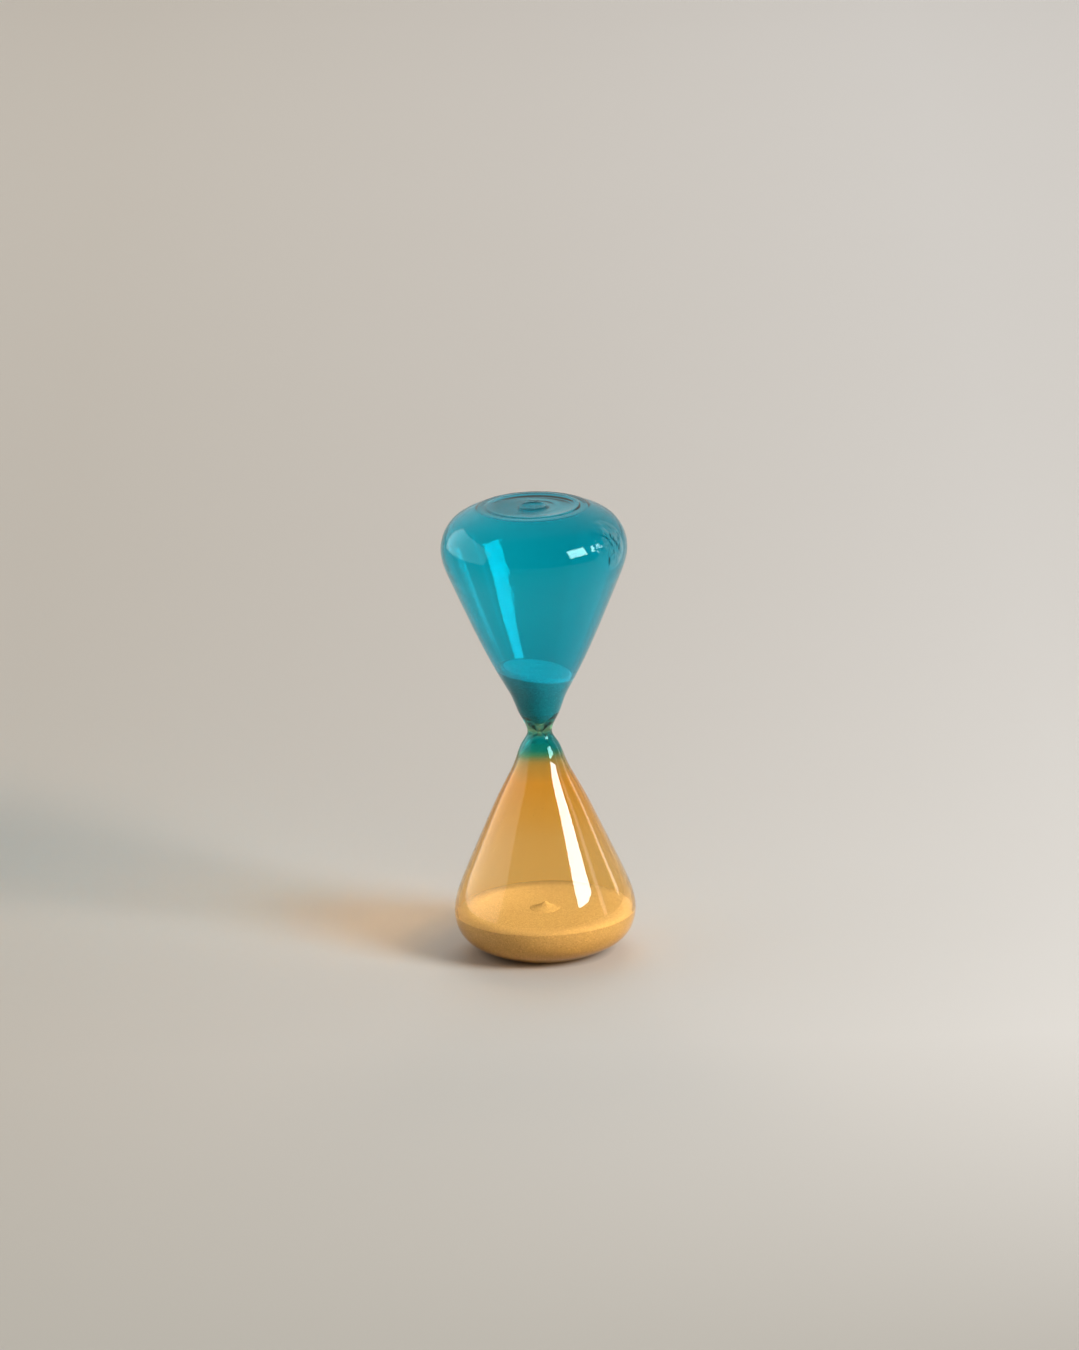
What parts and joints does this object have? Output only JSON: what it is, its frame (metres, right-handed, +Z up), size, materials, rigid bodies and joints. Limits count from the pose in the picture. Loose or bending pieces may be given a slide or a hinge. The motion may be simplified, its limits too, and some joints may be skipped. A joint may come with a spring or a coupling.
{
  "type": "hourglass",
  "caption": "Frameless blown-glass hourglass: teal upper bulb fading into an amber lower bulb at a thick throat, closed flat ends, pale sand running.",
  "frame": {"origin": "on the axis, in the plane of the base ring it stands on", "axes": "+Z up along the axis of both bulbs, -X towards the higher side of the upper sand"},
  "size_m": [0.0602, 0.0602, 0.15],
  "materials": {
    "teal_glass": "clear polished teal glass",
    "throat_glass": "clear polished glass, teal melting into amber",
    "amber_glass": "clear polished amber glass",
    "sand": "fine pale loose sand"
  },
  "bodies": {
    "glass": {"upper_bulb": "teal_glass", "neck": "throat_glass", "lower_bulb": "amber_glass", "upper_end_seal": "teal_glass", "lower_end_seal": "amber_glass", "sand_upper": "sand", "sand_lower": "sand", "sand_stream": "sand"},
    "sand_core": {"sand_upper_core": "sand"},
    "sand_mound": {"sand_lower_mound": "sand"}
  },
  "joints": [
    {"name": "core_sink", "type": "slide", "parent": "glass", "child": "sand_core", "axis": [0, 0, -1], "range_m": [0, 0.0055]},
    {"name": "mound_rise", "type": "slide", "parent": "glass", "child": "sand_mound", "axis": [0, 0, 1], "range_m": [0, 0.002]}
  ],
  "couplings": [
    {"joint": "mound_rise", "follows": "core_sink", "ratio": 0.36}
  ]
}
